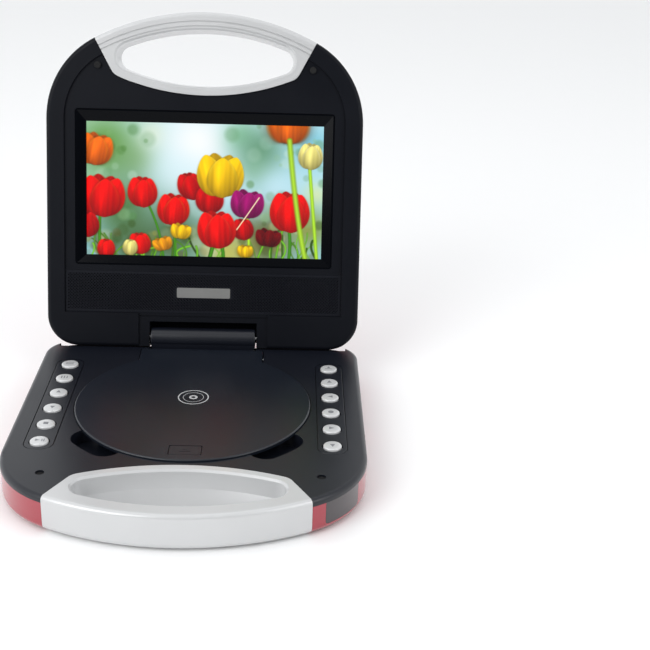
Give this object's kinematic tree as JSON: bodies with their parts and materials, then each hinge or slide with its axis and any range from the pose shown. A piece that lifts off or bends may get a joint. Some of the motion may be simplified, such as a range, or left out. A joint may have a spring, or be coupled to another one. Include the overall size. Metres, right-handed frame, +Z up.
{
  "type": "portable dvd player",
  "caption": "Clamshell portable disc player: hinged screen lid, round top-loading disc lid, button columns beside it, silver carrying handle with a hand opening.",
  "frame": {"origin": "middle of the footprint box of the player with its lid open, on the surface under its feet", "axes": "+X to the user's right, -Y towards the user (the base's handle), +Z up"},
  "size_m": [0.2064, 0.2773, 0.2331],
  "materials": {
    "red_shell": "glossy metallic red paint over plastic",
    "black_deck": "satin black moulded plastic",
    "silver_handle": "silver paint over plastic",
    "black_rubber": "matt black rubber",
    "steel": "bright steel",
    "screw_steel": "blackened steel",
    "battery_wrap": "heat-shrink film",
    "circuit_board": "green solder mask",
    "jack_plastic": "black moulded plastic",
    "button_silver": "silver paint, domed",
    "smoked_window": "smoked infrared-pass plastic",
    "mechanism_plastic": "black engineering plastic",
    "lens_glass": "coated lens",
    "gloss_bezel": "piano black",
    "screen": "lit display glass",
    "aluminium_tray": "folded tray of the backlight",
    "speaker_grille": "perforated black plastic",
    "speaker_cone": "paper cone in a black frame",
    "name_plate": "plain silver bar"
  },
  "bodies": {
    "base": {"base_shell": "red_shell", "deck": "black_deck", "deck_plugs": "black_rubber", "base_handle_top": "silver_handle", "base_handle_bottom": "silver_handle", "disc_lid_pins": "steel", "spindle_motor": "steel", "drive_chassis": "steel", "guide_rods": "steel", "drive_dampers": "black_rubber", "feed_motor": "steel", "battery_pack": "battery_wrap", "main_board": "circuit_board", "button_boards": "circuit_board", "button_strips": "black_deck", "audio_jacks": "jack_plastic", "power_jack": "jack_plastic", "side_controls": "jack_plastic", "infrared_window": "smoked_window", "infrared_receiver": "jack_plastic", "rubber_feet": "black_rubber", "base_screws": "screw_steel", "hinge_barrel": "black_deck", "hinge_shafts": "steel"},
    "lid": {"lid_frame": "black_deck", "lid_cover": "red_shell", "lid_handle_front": "silver_handle", "lid_handle_back": "silver_handle", "lid_screws": "screw_steel", "hinge_screws": "screw_steel", "hinge_brackets": "steel", "lid_bumpers": "black_rubber", "screen_bezel": "gloss_bezel", "lcd_panel": "screen", "lcd_backlight": "aluminium_tray", "screen_board": "circuit_board", "speaker_grille": "speaker_grille", "speakers": "speaker_cone", "name_plate": "name_plate"},
    "disc_lid": {"disc_lid": "black_deck"},
    "open_tab": {"open_tab": "black_deck"},
    "turntable": {"turntable": "mechanism_plastic", "turntable_pad": "black_rubber"},
    "laser_sled": {"laser_sled": "mechanism_plastic", "laser_lens": "lens_glass"},
    "lead_screw": {"lead_screw": "steel"},
    "volume_wheel": {"volume_wheel": "jack_plastic"},
    "power_switch": {"power_switch_knob": "jack_plastic"},
    "button_left_1": {"button_left_1": "button_silver"},
    "button_left_2": {"button_left_2": "button_silver"},
    "button_left_3": {"button_left_3": "button_silver"},
    "button_left_4": {"button_left_4": "button_silver"},
    "button_left_5": {"button_left_5": "button_silver"},
    "button_left_6": {"button_left_6": "button_silver"},
    "button_right_1": {"button_right_1": "button_silver"},
    "button_right_2": {"button_right_2": "button_silver"},
    "button_right_3": {"button_right_3": "button_silver"},
    "button_right_4": {"button_right_4": "button_silver"},
    "button_right_5": {"button_right_5": "button_silver"},
    "button_right_6": {"button_right_6": "button_silver"}
  },
  "joints": [
    {"name": "lid_hinge", "type": "hinge", "parent": "base", "child": "lid", "pos_m": [0, 0.07281, 0.0281], "axis": [-1, 0, 0], "range_deg": [-105, 10]},
    {"name": "disc_lid_hinge", "type": "hinge", "parent": "base", "child": "disc_lid", "pos_m": [0, 0.05831, 0.019], "axis": [-1, 0, 0], "range_deg": [0, 60]},
    {"name": "open_tab_press", "type": "slide", "parent": "disc_lid", "child": "open_tab", "axis": [0, 0, -1], "range_m": [0, 0.001], "stiffness_N_per_m": 800},
    {"name": "turntable_spin", "type": "hinge", "parent": "base", "child": "turntable", "pos_m": [0, -0.01239, 0.0167], "axis": [0, 0, 1], "continuous": true},
    {"name": "laser_sled_slide", "type": "slide", "parent": "base", "child": "laser_sled", "axis": [0, -1, 0], "range_m": [0, 0.024]},
    {"name": "lead_screw_spin", "type": "hinge", "parent": "base", "child": "lead_screw", "pos_m": [0.016, -0.02719, 0.0103], "axis": [0, -1, 0], "range_deg": [-10, 2900]},
    {"name": "volume_wheel_turn", "type": "hinge", "parent": "base", "child": "volume_wheel", "pos_m": [0.0969, -0.02719, 0.0095], "axis": [0, 0, 1], "range_deg": [-130, 130]},
    {"name": "power_switch_slide", "type": "slide", "parent": "base", "child": "power_switch", "axis": [0, -1, 0], "range_m": [0, 0.003]},
    {"name": "button_left_1_press", "type": "slide", "parent": "base", "child": "button_left_1", "axis": [0, 0, -1], "range_m": [0, 0.0008], "stiffness_N_per_m": 900},
    {"name": "button_left_2_press", "type": "slide", "parent": "base", "child": "button_left_2", "axis": [0, 0, -1], "range_m": [0, 0.0008], "stiffness_N_per_m": 900},
    {"name": "button_left_3_press", "type": "slide", "parent": "base", "child": "button_left_3", "axis": [0, 0, -1], "range_m": [0, 0.0008], "stiffness_N_per_m": 900},
    {"name": "button_left_4_press", "type": "slide", "parent": "base", "child": "button_left_4", "axis": [0, 0, -1], "range_m": [0, 0.0008], "stiffness_N_per_m": 900},
    {"name": "button_left_5_press", "type": "slide", "parent": "base", "child": "button_left_5", "axis": [0, 0, -1], "range_m": [0, 0.0008], "stiffness_N_per_m": 900},
    {"name": "button_left_6_press", "type": "slide", "parent": "base", "child": "button_left_6", "axis": [0, 0, -1], "range_m": [0, 0.0008], "stiffness_N_per_m": 900},
    {"name": "button_right_1_press", "type": "slide", "parent": "base", "child": "button_right_1", "axis": [0, 0, -1], "range_m": [0, 0.0008], "stiffness_N_per_m": 900},
    {"name": "button_right_2_press", "type": "slide", "parent": "base", "child": "button_right_2", "axis": [0, 0, -1], "range_m": [0, 0.0008], "stiffness_N_per_m": 900},
    {"name": "button_right_3_press", "type": "slide", "parent": "base", "child": "button_right_3", "axis": [0, 0, -1], "range_m": [0, 0.0008], "stiffness_N_per_m": 900},
    {"name": "button_right_4_press", "type": "slide", "parent": "base", "child": "button_right_4", "axis": [0, 0, -1], "range_m": [0, 0.0008], "stiffness_N_per_m": 900},
    {"name": "button_right_5_press", "type": "slide", "parent": "base", "child": "button_right_5", "axis": [0, 0, -1], "range_m": [0, 0.0008], "stiffness_N_per_m": 900},
    {"name": "button_right_6_press", "type": "slide", "parent": "base", "child": "button_right_6", "axis": [0, 0, -1], "range_m": [0, 0.0008], "stiffness_N_per_m": 900}
  ],
  "couplings": [
    {"joint": "lead_screw_spin", "follows": "laser_sled_slide", "rad_per_m": 2094.4}
  ]
}
